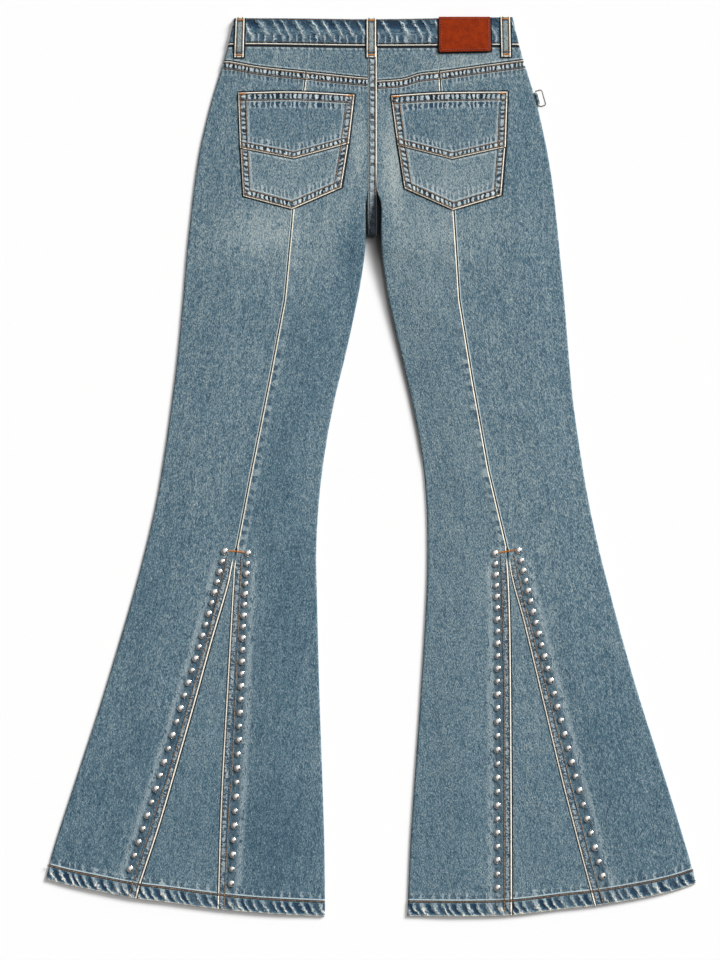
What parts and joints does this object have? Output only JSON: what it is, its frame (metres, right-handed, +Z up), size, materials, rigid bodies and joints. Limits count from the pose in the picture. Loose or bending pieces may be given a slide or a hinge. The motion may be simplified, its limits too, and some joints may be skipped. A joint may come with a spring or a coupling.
{
  "type": "flared jeans laid flat",
  "caption": "Faded blue jeans laid flat with the back up: wide flared legs with studded gusset panels, back pockets, belt loops, a leather waist patch and a small wire ring at one hip.",
  "frame": {"origin": "centre of the bounding box in plan, on the face that the jeans rest on", "axes": "+Y towards the waist, +Z up out of the back of the jeans, +X to the right as seen from above"},
  "size_m": [0.7954, 1.0992, 0.0083],
  "materials": {
    "denim_body": "stonewashed indigo twill, faded on the thighs and seat, with slubs down the warp and pale worn seam edges",
    "denim_gusset": "the same twill, slightly lighter and more even",
    "denim_pocket": "the same twill, a little darker, with cream worn edges and brown stitching",
    "denim_waistband": "dark indigo twill with diagonal worn streaks",
    "denim_loops": "pale worn twill with cream edges",
    "patch_leather": "plain rust-brown leather, low sheen",
    "stud_metal": "bright nickel domes",
    "button_metal": "plain aged nickel",
    "ring_metal": "smooth grey nickel wire"
  },
  "bodies": {
    "jeans": {"waistband_back": "denim_waistband", "waistband_front_left": "denim_waistband", "waistband_front_right": "denim_waistband", "belt_loop_left": "denim_loops", "belt_loop_centre": "denim_loops", "belt_loop_right": "denim_loops", "front_loop_left": "denim_loops", "front_loop_right": "denim_loops", "side_loop": "denim_loops", "waist_patch": "patch_leather", "yoke_outer_left": "denim_body", "yoke_inner_left": "denim_body", "yoke_inner_right": "denim_body", "yoke_outer_right": "denim_body", "seat_seam": "denim_body", "leg_outer_left": "denim_body", "leg_inner_left": "denim_body", "leg_inner_right": "denim_body", "leg_outer_right": "denim_body", "gusset_left": "denim_gusset", "gusset_right": "denim_gusset", "pocket_upper_left": "denim_pocket", "pocket_lower_left": "denim_pocket", "pocket_upper_right": "denim_pocket", "pocket_lower_right": "denim_pocket", "stud_row_left_outer": "stud_metal", "stud_row_left_inner": "stud_metal", "stud_row_right_inner": "stud_metal", "stud_row_right_outer": "stud_metal", "front_left": "denim_body", "front_right": "denim_body", "fly": "denim_body", "waist_button": "button_metal"},
    "ring": {"side_ring": "ring_metal"}
  },
  "joints": [
    {"name": "ring_hinge", "type": "hinge", "parent": "jeans", "child": "ring", "pos_m": [0.20297, 0.44901, 0.0021], "axis": [0.2704, -0.9628, 0], "range_deg": [0, 155]}
  ]
}
